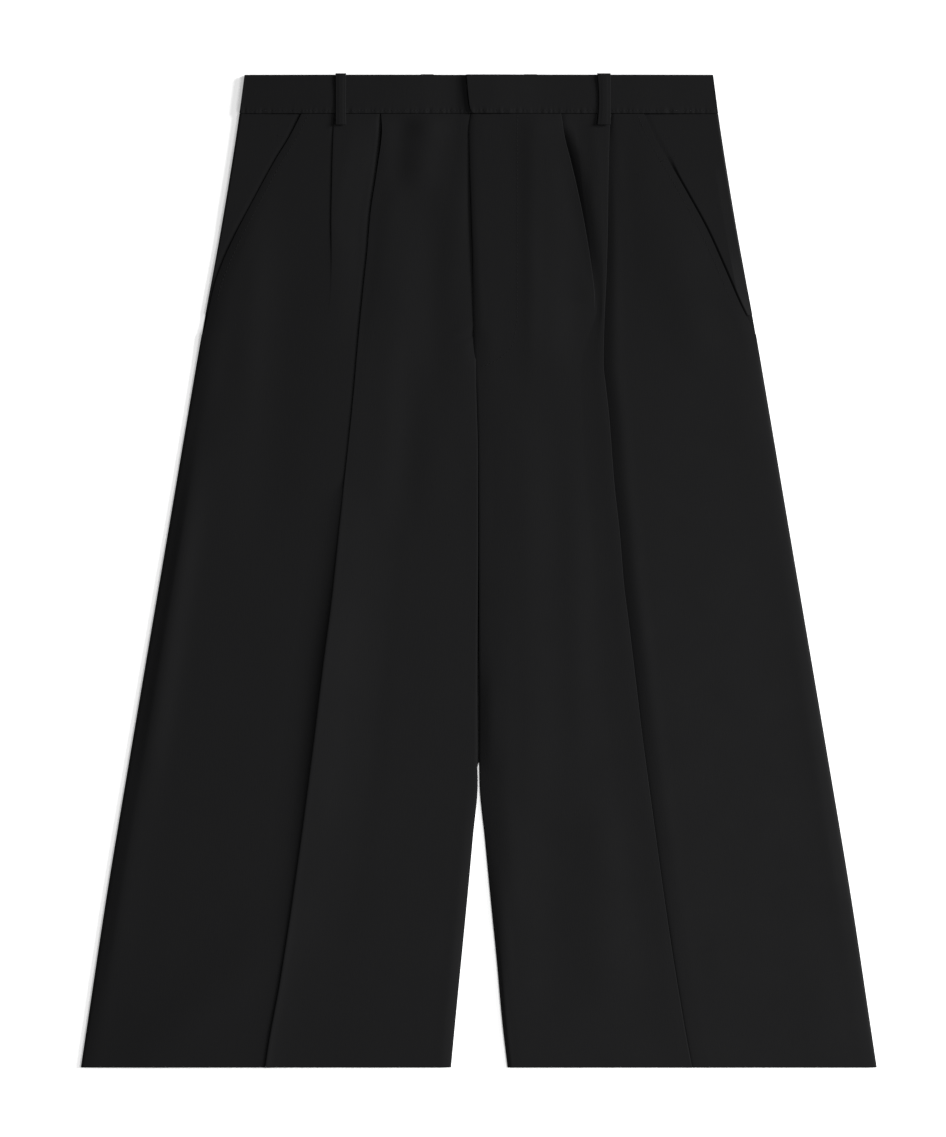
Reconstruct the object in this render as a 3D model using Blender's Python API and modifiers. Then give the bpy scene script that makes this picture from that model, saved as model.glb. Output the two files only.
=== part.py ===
# Tailored shorts, laid flat with the front up: +Y to the waist, +Z up, the wearer's right at -X.
# Each piece of cloth is a middle surface, lofted through sections, and a Solidify wall.
# Sizes are in millimetres. "down" is the distance below the waist, and "out" the distance
# from the centre line towards a side. Heights are those of the middle of a wall.

import math

import bmesh
import bpy

MM = 0.001
SHORTS = "tailored_shorts"

# Walls, and the gap kept between two layers.
CLOTH = 1.1
BAND = 2.0
LOOP = 1.0
GAP = 0.3
LAYER = CLOTH + GAP

# Driving sizes of the flat garment.
BAND_DEPTH = 29.3
LENGTH = 769.0
LOOP_PROUD = 1.3
MIDDLE = (LENGTH - LOOP_PROUD) / 2
SEAM = GAP / 2

# Heights of the stacked layers.
BACK_HEIGHT = CLOTH / 2
SLACK = 0.12
LOW = BACK_HEIGHT + LAYER + SLACK
ON_FACING = LOW + LAYER
BACK_BAND_HEIGHT = BAND / 2

# The side outline: half the garment's width, the same on both sides.
SIDE = {
    "down": (0, 35, 115, 198, 360, 523, 640, 733, 769),
    "out": (181, 185.6, 198.3, 213.6, 241.2, 268.9, 288.3, 302.3, 307.8),
}

# How high the fronts lie away from their edges.
LEVEL = {
    "down": (29, 45, 70, 110, 250, 350, 600, 769),
    "height": (2.75, 3.1, 3.7, 3.85, 3.8, 3.5, 3.3, 3.0),
}

# The inner edge of each front, where it starts to rise, over what width and from which height.
# The right front runs under the fly as far as "edge" goes below zero.
INNER_EDGE_RIGHT = {
    "down": (29, 188, 214, 232, 300, 364, 447, 529, 547, 593, 640, 686, 733, 769),
    "edge": (-21, -21, 2.2, 2.0, 0.75, -0.05, -0.45, -0.05, 0.5, 5.6, 9.5, 14.1, 18.8, 22.3),
    "start": (9, 7, 4, 2.0, 0.75, -0.05, -0.45, -0.05, 0.5, 5.6, 9.5, 14.1, 18.8, 22.3),
    "width": (26, 24, 14, 6, 6, 6, 6, 6, 9, 12, 12, 12, 12, 12),
    "height": (LOW, LOW, 2.2, 3.1, 3.3, 3.3, 3.3, 3.1, 2.5, LOW, LOW, LOW, LOW, LOW),
}
INNER_EDGE_LEFT = {
    "down": (29, 42, 174, 205, 232, 300, 364, 447, 529, 547, 593, 640, 686, 733, 769),
    "edge": (-4.6, -5.4, -2.6, -2.2, -1.7, -0.45, 0.35, 0.75, 0.35, 0.7, 5.3, 9.9, 14.6, 18.5, 23.1),
    "start": (-4.6, -5.4, -2.6, -2.2, -1.7, -0.45, 0.35, 0.75, 0.35, 0.7, 5.3, 9.9, 14.6, 18.5, 23.1),
    "width": (4, 4, 4, 5, 10, 14, 15, 16, 16, 14, 12, 12, 12, 12, 12),
    "height": (3.8, 3.8, 3.8, 3.8, 3.1, 2.9, 2.7, 2.4, 2.1, 2.0, LOW, LOW, LOW, LOW, LOW),
}

# The outer edge of each front: the slanted pocket mouth down to 198 mm, and the side below it.
OUTER_EDGE_RIGHT = {
    "down": (29, 48.5, 65, 94, 121, 142, 163, 182, 200, 215, 240, 769),
    "pocket": (136.8, 146.9, 157.1, 173, 187.3, 197.2, 205, 209.4, 214, 400, 400, 400),
    "width": (8, 7, 6, 6, 6, 6, 7, 9, 12, 15, 18, 18),
    "height": (3.9, 3.5) + (ON_FACING,) * 6 + (3.2, 2.6, LOW, LOW),
}
OUTER_EDGE_LEFT = {
    "down": (29, 52, 65, 94, 121, 149, 178, 190, 200, 215, 240, 769),
    "pocket": (129.6, 140.3, 147.7, 165.4, 180.2, 193.2, 206.0, 210.5, 214, 400, 400, 400),
    "width": (8, 7, 8, 10, 10, 10, 9, 9, 12, 15, 18, 18),
    "height": (3.9, 3.5, 3.7, 4.3, 4.4, 4.2, 3.7, 3.4, 3.2, 2.6, LOW, LOW),
}

# Reverse pleats: the cloth on the centre's side folds back under itself, and its edge faces the side.
# "depth" is how far it folds under, "fold" how much of the fold's height is left, "ramp" the width
# over which the top layer comes down, "trough" the dip outside the edge, "open" how far the edge gapes.
# Below its fold each longer pleat runs on to the hem as the pressed crease.
INNER_PLEAT_RIGHT = {
    "down": (29, 42, 72, 108, 138, 163, 200, 246, 276, 350, 405, 454, 526, 611, 702, 749, 769),
    "edge": (75.8, 73.9, 79.5, 85, 87.7, 90.4, 94.1, 97.8, 100.8, 108.1, 114.5, 120.9, 132.1, 143.3,
             154.7, 163, 166),
    "depth": (18, 17, 15, 12, 9.5, 7.5, 5, 3, 2, 0, 0, 0, 0, 0, 0, 0, 0),
    "fold": (1, 1, 1, 1, 1, 1, 1, 1, 1, 0.9, 0.75, 0.7, 0.65, 0.6, 0.6, 0.65, 0.7),
    "ramp": (9, 9, 10, 11, 12, 12, 14, 16, 18, 20, 22, 24, 24, 24, 24, 24, 24),
    "trough": (0.2, 0.8, 0.8, 0.8, 0.8, 0.7, 0.6, 0.6, 0.6, 0.6, 0.6, 0.7, 0.7, 0.7, 0.6, 0.5, 0.4),
    "open": (0, 0.4, 0.2, 0.1, 0.1, 0, 0, 0, 0, 0, 0, 0, 0, 0, 0, 0, 0),
}
OUTER_PLEAT_RIGHT = {
    "down": (29, 38, 89, 116, 140, 162, 200, 300, 450, 600, 769),
    "edge": (112, 112.7, 114.2, 114.2, 114, 115, 121, 146, 183, 208, 238),
    "depth": (12, 12, 8, 5, 1, 0, 0, 0, 0, 0, 0),
    "fold": (1, 1, 1, 1, 0.9, 0.6, 0, 0, 0, 0, 0),
    "ramp": (8, 8, 8, 8, 8, 8, 8, 10, 12, 14, 14),
    "trough": (0.1, 0.3, 0.3, 0.3, 0.3, 0.2, 0, 0, 0, 0, 0),
    "open": (0, 0, 0, 0, 0, 0, 0, 0, 0, 0, 0),
}
INNER_PLEAT_LEFT = {
    "down": (29, 48, 65, 87, 112, 142, 160, 174, 190, 215, 300, 450, 600, 769),
    "edge": (63.4, 67.7, 71.4, 77.8, 83.3, 87.2, 88.6, 87, 82, 76, 68, 70, 76, 84),
    "depth": (17, 16, 15, 13.5, 11, 7, 3, 0.3, 0, 0, 0, 0, 0, 0),
    "fold": (1, 1, 1, 1, 1, 1, 1, 0.8, 0.3, 0, 0, 0, 0, 0),
    "ramp": (9, 9, 9, 10, 10, 10, 10, 10, 10, 10, 10, 10, 10, 10),
    "trough": (0.3, 1.2, 1.7, 1.7, 1.5, 1.1, 0.7, 0.4, 0.1, 0, 0, 0, 0, 0),
    "open": (0, 0.8, 1.3, 1.4, 1.1, 0.7, 0.3, 0.1, 0, 0, 0, 0, 0, 0),
}
OUTER_PLEAT_LEFT = {
    "down": (29, 40, 83, 112, 136, 155, 185, 223, 244, 318, 395, 485, 504, 571, 645, 702, 748, 769),
    "edge": (103.6, 102.3, 101.5, 101, 100.5, 99.7, 98.2, 96.8, 98.8, 105.1, 112.4, 123.4, 127.1, 139.5,
             149.2, 154.5, 163, 167.8),
    "depth": (12, 12, 9, 6, 2, 0, 0, 0, 0, 0, 0, 0, 0, 0, 0, 0, 0, 0),
    "fold": (1, 1, 1, 1, 0.9, 0.6, 0.5, 0.75, 0.85, 0.85, 0.85, 0.8, 0.75, 0.65, 0.5, 0.4, 0.4, 0.4),
    "ramp": (8, 8, 8, 6, 4, 4, 6, 9, 12, 16, 18, 22, 22, 22, 22, 22, 22, 22),
    "trough": (0.1, 0.4, 0.5, 0.6, 0.6, 0.6, 0.6, 0.7, 0.7, 0.8, 0.9, 0.8, 0.7, 0.6, 0.4, 0.3, 0.3, 0.3),
    "open": (0, 0, 0, 0, 0, 0, 0, 0, 0, 0, 0, 0, 0, 0, 0, 0, 0, 0),
}
TROUGH_WIDTH = 7.0

# A pleat's section, from the centre's side over the edge and back under it. A folded point lies
# off the edge by its parts of the depth, the ramp and a half layer's "turn", at "layer" layers.
# Where the fold has opened out, it lies off the edge by "flat", in parts of the ramp on the centre's
# side and in millimetres past the edge, with "soft" of the crease's height. "gape" lifts the edge.
PLEAT_POINTS = (
    {"depth": -1, "ramp": -1.0, "turn": 0, "flat": 1.0, "layer": 0, "soft": 0, "gape": 0},
    {"depth": -1, "ramp": -0.5, "turn": 0, "flat": 0.55, "layer": 1.0, "soft": 0.2, "gape": 0},
    {"depth": -1, "ramp": 0, "turn": -1, "flat": 0.3, "layer": 2, "soft": 0.55, "gape": 0},
    {"depth": -0.5, "ramp": 0, "turn": -1, "flat": 0.12, "layer": 2, "soft": 0.85, "gape": 0.5},
    {"depth": 0, "ramp": 0, "turn": -1, "flat": 0, "layer": 2, "soft": 1, "gape": 1},
    {"depth": 0, "ramp": 0, "turn": 0, "flat": -0.8, "layer": 1.5, "soft": 0.8, "gape": 0.5},
    {"depth": 0, "ramp": 0, "turn": -1, "flat": -1.6, "layer": 1, "soft": 0.5, "gape": 0},
    {"depth": -1, "ramp": 0, "turn": 1, "flat": -2.4, "layer": 1, "soft": 0.25, "gape": 0},
    {"depth": -1, "ramp": 0, "turn": 0, "flat": -3.2, "layer": 0.5, "soft": 0.1, "gape": 0},
    {"depth": -1, "ramp": 0, "turn": 1, "flat": -4.0, "layer": 0, "soft": 0, "gape": 0},
    {"depth": 0, "ramp": 0, "turn": 0, "flat": -5.0, "layer": 0, "soft": 0, "gape": 0},
    {"depth": 0, "ramp": 0, "turn": 7, "flat": -7.0, "layer": 0, "soft": 0, "gape": 0},
)
CREASE_STEP = 1.2
PLEAT_REACH = 6.0

# The fly: its lap lies over the zip as far down as "lap" is 1, out to the stitched edge.
FLY = {
    "down": (29, 196, 228),
    "lap": (1, 1, 0),
}
FLY_HEIGHT = 5.4
FLY_WIDTH = 26.0
FLY_EASE = 12.0
ZIP = {"top": 44.0, "bottom": 184.0, "inner": 0.6, "outer": 21.0}
TAPE = 0.8
CHAIN = {"width": 4.0, "proud": 0.6}
SLIDER = {"width": 7.0, "length": 9.0, "height": 1.4, "edge": 0.35}

# Sections along the fronts and the backs, and across them between the pleats.
FRONT_DOWN = (
    29.6, 36, 44, 56, 72, 90, 110, 132, 150, 162, 174, 186, 200, 214, 232, 262, 305, 355, 405, 460,
    515, 540, 585, 640, 695, 740, 769,
)
BACK_DOWN = (29.45, 40, 52, 66, 120, 200, 290, 380, 470, 529, 547, 593, 640, 700, 769)
INNER_STEPS = (0, 0.06, 0.15, 0.32, 0.55, 0.8)
BETWEEN_STEPS = (0.35, 0.7)
OUTER_STEPS = (0.3, 0.58, 0.76, 0.88, 0.96, 1)
BACK_STEPS = (0, 0.1, 0.2, 0.35, 0.55, 0.8, 1)

# The pocket facings reach under the fronts and end above the foot of the pocket mouth.
FACING_UNDER = 14.0
FACING_DOWN = (29.45, 36, 48, 65, 85, 105, 125, 148, 168, 186)
FACING_STEPS = (0, 0.25, 0.5, 0.75, 1)
FACING_TOP_LIFT = 0.3
FACING_TOP_FADE = 12.0
FACING_EASE = 5.0
FACING_CLEAR = 3.0

# The front waistband's height from the centre to the side, and its end at the centre front.
BAND_RIGHT = {
    "out": (-19, 0, 9, 26, 60, 120, 150, 181),
    "height": (3.65, 3.65, 3.75, 4.8, 4.8, 4.65, 4.2, 3.7),
}
BAND_LEFT = {
    "out": (-9, 25, 42, 60, 120, 150, 181),
    "height": (6.15, 6.1, 5.25, 4.8, 4.65, 4.2, 3.7),
}
BAND_END_RIGHT = {"down": (0, BAND_DEPTH), "out": (-19, -19)}
BAND_END_LEFT = {"down": (0, BAND_DEPTH), "out": (-8.7, -4.6)}
BAND_DOWN = (0, 1.5, 15, 27.6, BAND_DEPTH - SEAM)
BAND_EASE = (0.25, 0, 0, 0, 0.15)
BAND_STEPS = 18

# Belt loops, each from the waistband's top edge to below its seam.
FRONT_LOOPS = {"right": {"out": 106.8, "width": 8.2}, "left": {"out": 96.8, "width": 10.4}}
BACK_LOOP = {"out": 40.0, "width": 10.0}
LOOP_BOTTOM = 38.0
BACK_LOOP_BOTTOM = 41.0
BACK_LOOP_LIFT = LOOP + GAP + SLACK
BACK_LOOP_FADE = 12.0
BACK_MIDDLE = 120.0
LOOP_WRAP = 1.6
LOOP_BEND = 0.6

CLOTH_COLOUR = (0.012, 0.012, 0.013, 1)
ZIP_COLOUR = (0.015, 0.015, 0.016, 1)
METAL_COLOUR = (0.25, 0.25, 0.26, 1)


def ease(part):
    """A smooth rise from 0 to 1."""
    part = min(max(part, 0), 1)
    return part * part * (3 - 2 * part)


def roll(part):
    """A rounded edge: steep at 0 and level at 1."""
    return math.sin(math.pi / 2 * min(max(part, 0), 1))


def read(table, name, place, key="down"):
    """A table's column at a place, through a smooth curve that never overshoots its rows."""
    places, values = table[key], table[name]
    if place <= places[0]:
        return values[0]
    if place >= places[-1]:
        return values[-1]
    row = max(i for i in range(len(places) - 1) if places[i] <= place)

    def slope(i):
        return (values[i + 1] - values[i]) / (places[i + 1] - places[i])

    def tangent(i):
        if i in (0, len(places) - 1):
            return slope(min(i, len(places) - 2))
        before, after = slope(i - 1), slope(i)
        return 2 * before * after / (before + after) if before * after > 0 else 0

    span = places[row + 1] - places[row]
    t = (place - places[row]) / span
    return (
        (2 * t**3 - 3 * t**2 + 1) * values[row]
        + (t**3 - 2 * t**2 + t) * span * tangent(row)
        + (3 * t**2 - 2 * t**3) * values[row + 1]
        + (t**3 - t**2) * span * tangent(row + 1)
    )


def side_edge(down):
    return read(SIDE, "out", down)


def back_loop_lift(out):
    """How far the back is lifted by the belt loop under it."""
    clear = abs(abs(out) - BACK_LOOP["out"]) - BACK_LOOP["width"] / 2 - 1
    return BACK_LOOP_LIFT * (1 - ease(clear / BACK_LOOP_FADE))


def back_height(out, down):
    fade = 1 - ease((down - BACK_LOOP_BOTTOM - 1.5) / BACK_LOOP_FADE)
    return BACK_HEIGHT + back_loop_lift(out) * fade


def front_outer_edge(side, down):
    return min(read(side["outer_edge"], "pocket", down), side_edge(down))


def facing_height(down):
    return LOW + FACING_TOP_LIFT * math.exp(-(down - BAND_DEPTH) / FACING_TOP_FADE)


def under_front(side, out, down):
    """The lowest that the front may lie: on the back, or on the pocket's facing."""
    lowest = back_height(out, down) + LAYER + SLACK
    inner = read(side["outer_edge"], "pocket", down) - FACING_UNDER
    over = ease((out - inner + FACING_CLEAR + FACING_EASE) / FACING_EASE)
    if down > FACING_DOWN[-1] + 2:
        return lowest
    return lowest + max(facing_height(down) + LAYER - lowest, 0) * over


def front_height(side, out, down):
    """The front's middle surface without its pleats."""
    level = read(LEVEL, "height", down) + 0.5 * (back_height(out, down) - BACK_HEIGHT)
    if side["laps_over"]:
        fade = 1 - ease((out - FLY_WIDTH) / FLY_EASE)
        level += (FLY_HEIGHT - level) * read(FLY, "lap", down) * fade
    inner, outer = side["inner_edge"], side["outer_edge"]
    start, width, low = (read(inner, name, down) for name in ("start", "width", "height"))
    height = low + (level - low) * roll((out - start) / width)
    edge = front_outer_edge(side, down)
    width, low = (read(outer, name, down) for name in ("width", "height"))
    height += (low - level) * (1 - roll((edge - out) / width))
    return max(height, under_front(side, out, down))


def trough_depth(pleat, out, down):
    """The dip beside a pleat's edge."""
    off = (out - read(pleat, "edge", down)) / TROUGH_WIDTH
    return read(pleat, "trough", down) * math.exp(-off * off)


def pleat_points(side, pleat, down, clear_of):
    """Points (out, height) of one pleat's section."""
    edge, depth, fold, ramp, gape = (
        read(pleat, name, down) for name in ("edge", "depth", "fold", "ramp", "open")
    )
    ramp = min(ramp, edge - depth - clear_of)
    turn = LAYER / 2
    folded = ease(depth / 3)
    points = []
    for point in PLEAT_POINTS:
        over = depth * point["depth"] + ramp * point["ramp"] + turn * point["turn"]
        if point["flat"] > 0:
            soft = -CREASE_STEP - (ramp - CREASE_STEP) * point["flat"]
        else:
            soft = -CREASE_STEP - point["flat"]
        out = edge + folded * over + (1 - folded) * soft
        layers = folded * point["layer"] + (1 - folded) * 2 * fold * point["soft"]
        dip = trough_depth(pleat, out, down) * (1 - layers / 2)
        height = max(front_height(side, out, down) - dip, under_front(side, out, down))
        points.append((out, height + LAYER * layers + gape * point["gape"]))
    return points


def front_section(side, down):
    inner = read(side["inner_edge"], "edge", down) + SLACK
    outer = front_outer_edge(side, down)
    first, second = side["pleats"]
    folds = [pleat_points(side, first, down, inner + PLEAT_REACH)]
    folds.append(pleat_points(side, second, down, read(first, "edge", down) + PLEAT_REACH))
    plain = [inner + step * (folds[0][0][0] - inner) for step in INNER_STEPS]
    section = [(out, front_height(side, out, down)) for out in plain] + folds[0]
    between = folds[0][-1][0], folds[1][0][0]
    for step in BETWEEN_STEPS:
        out = between[0] + step * (between[1] - between[0])
        height = front_height(side, out, down) - trough_depth(first, out, down)
        section.append((out, max(height, under_front(side, out, down))))
    section += folds[1]
    last = folds[1][-1][0]
    for step in OUTER_STEPS:
        out = last + step * (outer - last)
        section.append((out, front_height(side, out, down)))
    return section


def point_at(across, down, height):
    """A place on the garment in metres."""
    return across * MM, (MIDDLE - down) * MM, height * MM


def loft(name, sections, sign, wall, colour):
    """One piece: sections of (out, down, height) joined into a surface, then given its wall."""
    mesh = bpy.data.meshes.new(name)
    build = bmesh.new()
    rows = [
        [build.verts.new(point_at(sign * out, down, height)) for out, down, height in section]
        for section in sections
    ]
    for above, below in zip(rows, rows[1:]):
        for i in range(len(above) - 1):
            corners = [above[i], below[i], below[i + 1], above[i + 1]]
            build.faces.new(corners if sign > 0 else corners[::-1])
    build.to_mesh(mesh)
    build.free()
    piece = place(name, mesh, colour)
    solid = piece.modifiers.new("wall", "SOLIDIFY")
    solid.thickness = wall * MM
    solid.offset = 0
    solid.use_even_offset = True
    return piece


def place(name, mesh, colour):
    piece = bpy.data.objects.new(name, mesh)
    material = bpy.data.materials.new(name)
    material.use_nodes = True
    shader = material.node_tree.nodes["Principled BSDF"]
    shader.inputs["Base Color"].default_value = colour
    shader.inputs["Roughness"].default_value = 0.4 if colour == METAL_COLOUR else 0.9
    shader.inputs["Metallic"].default_value = 1.0 if colour == METAL_COLOUR else 0.0
    mesh.materials.append(material)
    bpy.data.collections[SHORTS].objects.link(piece)
    return piece


def make_front(side):
    sections = [
        [(out, down, height) for out, height in front_section(side, down)]
        for down in FRONT_DOWN
    ]
    loft("front_" + side["name"], sections, side["sign"], CLOTH, CLOTH_COLOUR)


def near_back_loop():
    """Places across the back on both sides of a belt loop: clear of it, and beside it."""
    middle = BACK_LOOP["out"]
    beside = BACK_LOOP["width"] / 2 + 1
    clear = beside + BACK_LOOP_FADE
    return [middle - clear, middle - beside, middle + beside, middle + clear]


def make_back(side):
    sections = []
    for down in BACK_DOWN:
        inner = SEAM if down < 530 else read(side["inner_edge"], "edge", down)
        outer = side_edge(down)
        spots = [inner + step * (outer - inner) for step in BACK_STEPS]
        if down < 67:
            spots = [inner] + near_back_loop() + [BACK_MIDDLE, outer]
        sections.append([(out, down, back_height(out, down)) for out in spots])
    loft("back_" + side["name"], sections, side["sign"], CLOTH, CLOTH_COLOUR)


def make_facing(side):
    sections = []
    for down in FACING_DOWN:
        inner = read(side["outer_edge"], "pocket", down) - FACING_UNDER
        outer = side_edge(down)
        spots = [inner + step * (outer - inner) for step in FACING_STEPS]
        sections.append([(out, down, facing_height(down)) for out in spots])
    loft("pocket_facing_" + side["name"], sections, side["sign"], CLOTH, CLOTH_COLOUR)


def band_height(side, out):
    return read(side["band"], "height", out, "out")


def make_front_band(side):
    sections = []
    for down, dip in zip(BAND_DOWN, BAND_EASE):
        start = read(side["band_end"], "out", down)
        end = side_edge(down)
        spots = [start + i / BAND_STEPS * (end - start) for i in range(BAND_STEPS + 1)]
        sections.append([(out, down, band_height(side, out) - dip) for out in spots])
    loft("waistband_front_" + side["name"], sections, side["sign"], BAND, CLOTH_COLOUR)


def make_back_band():
    half = near_back_loop() + [BACK_MIDDLE]
    sections = []
    for down in (0, BAND_DEPTH - SEAM):
        end = side_edge(down)
        spots = [-end] + [-out for out in reversed(half)] + half + [end]
        sections.append([(out, down, BACK_BAND_HEIGHT + back_loop_lift(out)) for out in spots])
    loft("waistband_back", sections, 1, BAND, CLOTH_COLOUR)


def make_front_loop(side):
    """A strip up the front, over the waistband's top edge."""
    loop = FRONT_LOOPS[side["name"]]
    top = band_height(side, loop["out"]) + BAND / 2 + GAP + SLACK + LOOP / 2
    edge = -GAP - SLACK - LOOP / 2
    path = [(edge, top - LOOP_WRAP), (edge, top - LOOP_BEND), (edge + LOOP_BEND, top), (14, top)]
    for down in (BAND_DEPTH - 3, BAND_DEPTH + 1, BAND_DEPTH + 5, LOOP_BOTTOM):
        section = front_section(side, max(down, FRONT_DOWN[0]))
        near = [height for out, height in section if abs(out - loop["out"]) < loop["width"]]
        path.append((down, max(top, max(near) + CLOTH / 2 + GAP + LOOP / 2 + SLACK)))
    half = loop["width"] / 2
    sections = [
        [(loop["out"] - half, down, height), (loop["out"] + half, down, height)]
        for down, height in path
    ]
    loft("belt_loop_front_" + side["name"], sections, side["sign"], LOOP, CLOTH_COLOUR)


def make_back_loop(side):
    """A strip under the back, up round the waistband's top edge."""
    edge = -GAP - SLACK - LOOP / 2
    low = LOOP / 2
    path = [(edge, low + LOOP_WRAP), (edge, low + LOOP_BEND), (edge + LOOP_BEND, low), (15, low)]
    path.append((BACK_LOOP_BOTTOM, low))
    half = BACK_LOOP["width"] / 2
    sections = [
        [(BACK_LOOP["out"] - half, down, height), (BACK_LOOP["out"] + half, down, height)]
        for down, height in reversed(path)
    ]
    loft("belt_loop_back_" + side["name"], sections, side["sign"], LOOP, CLOTH_COLOUR)


def make_zip():
    """Closed tapes with the chain as a rib along their middle, and the slider above them."""
    low = LOW + CLOTH / 2 + GAP + SLACK
    top = low + TAPE
    rib = top + CHAIN["proud"]
    middle = (ZIP["inner"] + ZIP["outer"]) / 2
    half = CHAIN["width"] / 2
    outline = (
        (ZIP["inner"], low), (ZIP["outer"], low), (ZIP["outer"], top), (middle + half, top),
        (middle + half, rib), (middle - half, rib), (middle - half, top), (ZIP["inner"], top),
    )
    mesh = bpy.data.meshes.new("fly_zip")
    build = bmesh.new()
    end = build.faces.new([build.verts.new(point_at(across, ZIP["bottom"], z)) for across, z in outline])
    length = ZIP["bottom"] - ZIP["top"]
    grown = bmesh.ops.extrude_face_region(build, geom=[end])["geom"]
    far = [item for item in grown if isinstance(item, bmesh.types.BMVert)]
    bmesh.ops.translate(build, verts=far, vec=(0, length * MM, 0))
    bmesh.ops.recalc_face_normals(build, faces=build.faces)
    build.to_mesh(mesh)
    build.free()
    place("fly_zip", mesh, ZIP_COLOUR)

    mesh = bpy.data.meshes.new("zip_slider")
    build = bmesh.new()
    bmesh.ops.create_cube(build, size=1)
    size = [SLIDER[name] * MM for name in ("width", "length", "height")]
    bmesh.ops.scale(build, verts=build.verts, vec=size)
    bmesh.ops.bevel(build, geom=build.edges[:], offset=SLIDER["edge"] * MM, segments=1, affect="EDGES")
    build.to_mesh(mesh)
    build.free()
    slider = place("zip_slider", mesh, METAL_COLOUR)
    down = ZIP["top"] - GAP - SLIDER["length"] / 2
    slider.location = point_at(middle, down, low + SLIDER["height"] / 2)


SIDES = (
    {
        "name": "right", "sign": -1, "laps_over": False,
        "inner_edge": INNER_EDGE_RIGHT, "outer_edge": OUTER_EDGE_RIGHT,
        "pleats": (INNER_PLEAT_RIGHT, OUTER_PLEAT_RIGHT),
        "band": BAND_RIGHT, "band_end": BAND_END_RIGHT,
    },
    {
        "name": "left", "sign": 1, "laps_over": True,
        "inner_edge": INNER_EDGE_LEFT, "outer_edge": OUTER_EDGE_LEFT,
        "pleats": (INNER_PLEAT_LEFT, OUTER_PLEAT_LEFT),
        "band": BAND_LEFT, "band_end": BAND_END_LEFT,
    },
)


def main():
    for old in list(bpy.data.objects):
        bpy.data.objects.remove(old, do_unlink=True)
    collection = bpy.data.collections.new(SHORTS)
    bpy.context.scene.collection.children.link(collection)
    for side in SIDES:
        make_front(side)
        make_back(side)
        make_facing(side)
        make_front_band(side)
        make_front_loop(side)
        make_back_loop(side)
    make_back_band()
    make_zip()


main()
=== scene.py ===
import math

import bmesh
import bpy
import numpy as np
from mathutils import Matrix, Vector, noise
from mathutils.bvhtree import BVHTree


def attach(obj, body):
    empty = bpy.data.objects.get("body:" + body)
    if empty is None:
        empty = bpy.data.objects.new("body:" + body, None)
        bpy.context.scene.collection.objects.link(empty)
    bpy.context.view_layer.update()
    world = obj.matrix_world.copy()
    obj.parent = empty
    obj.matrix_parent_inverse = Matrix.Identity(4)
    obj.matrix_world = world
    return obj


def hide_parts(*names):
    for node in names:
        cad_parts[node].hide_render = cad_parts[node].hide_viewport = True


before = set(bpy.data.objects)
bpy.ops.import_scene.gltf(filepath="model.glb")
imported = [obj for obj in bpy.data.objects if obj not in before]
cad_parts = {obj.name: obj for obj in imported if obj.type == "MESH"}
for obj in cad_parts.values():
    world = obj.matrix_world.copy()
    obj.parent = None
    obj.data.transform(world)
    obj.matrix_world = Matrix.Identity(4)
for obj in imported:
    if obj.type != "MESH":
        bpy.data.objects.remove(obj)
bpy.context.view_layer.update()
mm = 0.001

# Millimetres. "down" is measured from the top of the waist and "out" from the centre line to a side.
# Heights are those of the middle of a wall.
shorts = {
    "length": 769.0,
    "middle": 383.85,  # the distance down at y = 0
    "bandDepth": 29.9,
    "clothWall": 0.3,
    "bandWall": 2.0,
    "layer": 0.36,  # one layer of a pleat above the next
    "clear": 0.75,  # the middle of a front above the middle of what it lies on
    "backHeight": 0.4,
    "low": 1.3,  # a facing where it lies on the back
    "slack": 0.12,
    "rim": 1.6,  # the width of the turn of the cloth at an edge
    "edge": 0.3,  # the rounding of a wall's edges
}
sideOutline = {
    "down": (0, 35, 115, 198, 360, 523, 640, 733, 769),
    "out": (181.5, 186.2, 199, 214.2, 241.8, 269.5, 289.0, 303.0, 308.4),
}


def ease(part):
    part = min(max(part, 0), 1)
    return part * part * (3 - 2 * part)


def roll(part):  # a rounded edge, steep at 0 and level at 1
    return math.sin(math.pi / 2 * min(max(part, 0), 1))


readBefore = {}


def read(table, name, place, key="down"):
    # a table's column at a place, on a smooth curve that never overshoots its rows
    known = id(table), name, place
    if known not in readBefore:
        readBefore[known] = curveAt(table[key], table[name], place)
    return readBefore[known]


def curveAt(places, values, place):
    if place <= places[0]:
        return values[0]
    if place >= places[-1]:
        return values[-1]
    row = max(i for i in range(len(places) - 1) if places[i] <= place)

    def slope(i):
        return (values[i + 1] - values[i]) / (places[i + 1] - places[i])

    def tangent(i):
        if i in (0, len(places) - 1):
            return slope(min(i, len(places) - 2))
        before, after = slope(i - 1), slope(i)
        return 2 * before * after / (before + after) if before * after > 0 else 0

    span = places[row + 1] - places[row]
    t = (place - places[row]) / span
    return (
        (2 * t**3 - 3 * t**2 + 1) * values[row]
        + (t**3 - 2 * t**2 + t) * span * tangent(row)
        + (3 * t**2 - 2 * t**3) * values[row + 1]
        + (t**3 - t**2) * span * tangent(row + 1)
    )


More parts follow.
